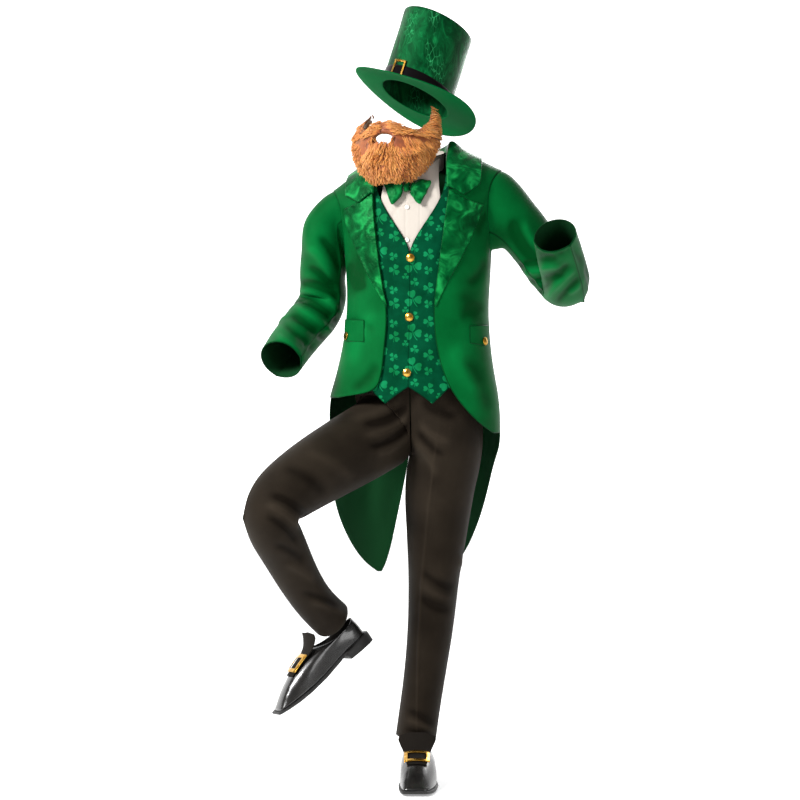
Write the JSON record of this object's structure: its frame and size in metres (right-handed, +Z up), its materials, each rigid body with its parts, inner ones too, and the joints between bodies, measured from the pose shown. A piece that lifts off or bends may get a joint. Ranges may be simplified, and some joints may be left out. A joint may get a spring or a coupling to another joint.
{
  "type": "leprechaun costume",
  "caption": "Leprechaun costume worn in a dancing pose and hollow: top hat, ginger beard, bow tie, tailcoat, shamrock waistcoat, dark trousers and buckled shoes.",
  "frame": {"origin": "where the costume hangs on the wearer's shoulders, midway between them at the foot of the neck", "axes": "+Z up, from the shoes to the hat; the front faces -Y, turned a little to -X; +X is the wearer's left"},
  "size_m": [0.8294, 0.4845, 1.8858],
  "materials": {
    "coat_cloth": "matt polyester twill, green",
    "green_satin": "shiny green satin",
    "waistcoat_print": "matt dark green cloth printed with lighter shamrocks",
    "shirt_cloth": "matt off-white cotton",
    "shirt_button": "pearl",
    "trouser_cloth": "matt brown-black suiting",
    "crown_velvet": "crushed velvet with light flecks",
    "brim_cloth": "green felt-like cloth",
    "band_ribbon": "black satin ribbon",
    "beard_fur": "long ginger fake fur",
    "shoe_gloss": "polished black leather",
    "shoe_sole": "matt black sole",
    "tongue_cloth": "matt black cloth over card",
    "gold_metal": "polished gold"
  },
  "bodies": {
    "root": {"coat_front_right": "coat_cloth", "coat_front_left": "coat_cloth", "coat_back_right": "coat_cloth", "coat_back_left": "coat_cloth", "coat_tail_right": "coat_cloth", "coat_tail_left": "coat_cloth", "lapel_right": "green_satin", "lapel_left": "green_satin", "pocket_flap_right": "coat_cloth", "pocket_flap_left": "coat_cloth", "flap_button_right": "gold_metal", "flap_button_left": "gold_metal", "coat_collar": "green_satin", "sleeve_upper_right": "coat_cloth", "sleeve_under_right": "coat_cloth", "sleeve_upper_left": "coat_cloth", "sleeve_under_left": "coat_cloth", "waistcoat_front_right": "waistcoat_print", "waistcoat_front_left": "waistcoat_print", "waistcoat_button_1": "gold_metal", "waistcoat_button_2": "gold_metal", "waistcoat_button_3": "gold_metal", "shirt_front": "shirt_cloth", "shirt_collar": "shirt_cloth", "shirt_button_1": "shirt_button", "shirt_button_2": "shirt_button", "trouser_front_right": "trouser_cloth", "trouser_back_right": "trouser_cloth", "trouser_front_left": "trouser_cloth", "trouser_back_left": "trouser_cloth", "trouser_waistband": "trouser_cloth", "shoe_upper_left": "shoe_gloss", "shoe_sole_left": "shoe_sole", "shoe_upper_right": "shoe_gloss", "shoe_sole_right": "shoe_sole", "shoe_tongue_left": "tongue_cloth", "shoe_buckle_left": "gold_metal", "shoe_tongue_right": "tongue_cloth", "shoe_buckle_right": "gold_metal", "hat_crown": "crown_velvet", "hat_tip": "crown_velvet", "hat_brim": "brim_cloth", "hat_band": "band_ribbon", "hat_buckle": "gold_metal", "beard": "beard_fur", "bow_wing_right": "green_satin", "bow_wing_left": "green_satin", "bow_knot": "green_satin"}
  },
  "joints": []
}
